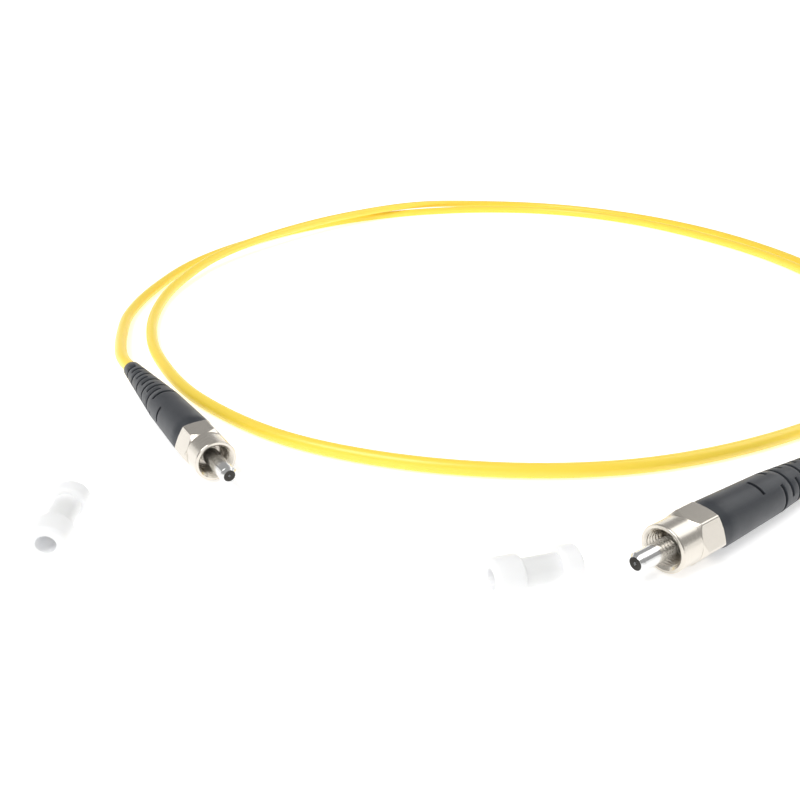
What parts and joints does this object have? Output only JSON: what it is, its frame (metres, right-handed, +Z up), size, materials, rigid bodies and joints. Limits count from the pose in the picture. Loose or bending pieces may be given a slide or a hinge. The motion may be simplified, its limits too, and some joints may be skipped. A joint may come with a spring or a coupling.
{
  "type": "fibre optic patch cord",
  "caption": "Looped simplex fibre patch cord; each end has a long steel ferrule, a sliding free-turning threaded hex nut, a slotted strain-relief boot and a loose dust cap.",
  "frame": {"origin": "centre of the connectors and caps on the surface they lie on, without the cord", "axes": "+Z up from the surface, +Y towards the back of the cord's loop, +X to the right, along the row of connectors"},
  "size_m": [0.235, 0.2813, 0.0085],
  "materials": {
    "ferrule_steel": "ground stainless steel, polished end face",
    "fibre_glass": "clear silica fibre",
    "buffer_plastic": "thin white buffer tube",
    "body_nickel": "nickel plated, satin turned",
    "spring_steel": "spring steel, as drawn",
    "nut_nickel": "warm nickel plating, satin, turned and milled",
    "aramid": "straight aramid strands",
    "sleeve_nickel": "nickel plated, crimped",
    "boot_rubber": "dark slate moulded rubber, semi-matte",
    "jacket_yellow": "yellow extruded jacket, satin gloss",
    "cap_plastic": "translucent natural white polyethylene, soft gloss"
  },
  "bodies": {
    "patch_cord": {"ferrule_a": "ferrule_steel", "fibre_a": "fibre_glass", "buffer_a": "buffer_plastic", "connector_body_a": "body_nickel", "aramid_yarn_a": "aramid", "crimp_sleeve_a": "sleeve_nickel", "boot_a": "boot_rubber", "ferrule_b": "ferrule_steel", "fibre_b": "fibre_glass", "buffer_b": "buffer_plastic", "connector_body_b": "body_nickel", "aramid_yarn_b": "aramid", "crimp_sleeve_b": "sleeve_nickel", "boot_b": "boot_rubber", "cord_jacket": "jacket_yellow", "dust_cap_a": "cap_plastic", "dust_cap_b": "cap_plastic"},
    "ring_a": {"retaining_ring_a": "spring_steel"},
    "nut_a": {"coupling_nut_a": "nut_nickel"},
    "ring_b": {"retaining_ring_b": "spring_steel"},
    "nut_b": {"coupling_nut_b": "nut_nickel"}
  },
  "joints": [
    {"name": "nut_slide_a", "type": "slide", "parent": "patch_cord", "child": "ring_a", "axis": [0.5734, -0.8189, 0.0242], "range_m": [0, 0.0035]},
    {"name": "nut_spin_a", "type": "hinge", "parent": "ring_a", "child": "nut_a", "pos_m": [-0.04891, 0.0011, 0.00428], "axis": [0.5734, -0.8189, 0.0242], "continuous": true},
    {"name": "nut_slide_b", "type": "slide", "parent": "patch_cord", "child": "ring_b", "axis": [-0.8288, -0.559, 0.0242], "range_m": [0, 0.0035]},
    {"name": "nut_spin_b", "type": "hinge", "parent": "ring_b", "child": "nut_b", "pos_m": [0.03795, -0.02667, 0.00428], "axis": [-0.8288, -0.559, 0.0242], "continuous": true}
  ]
}
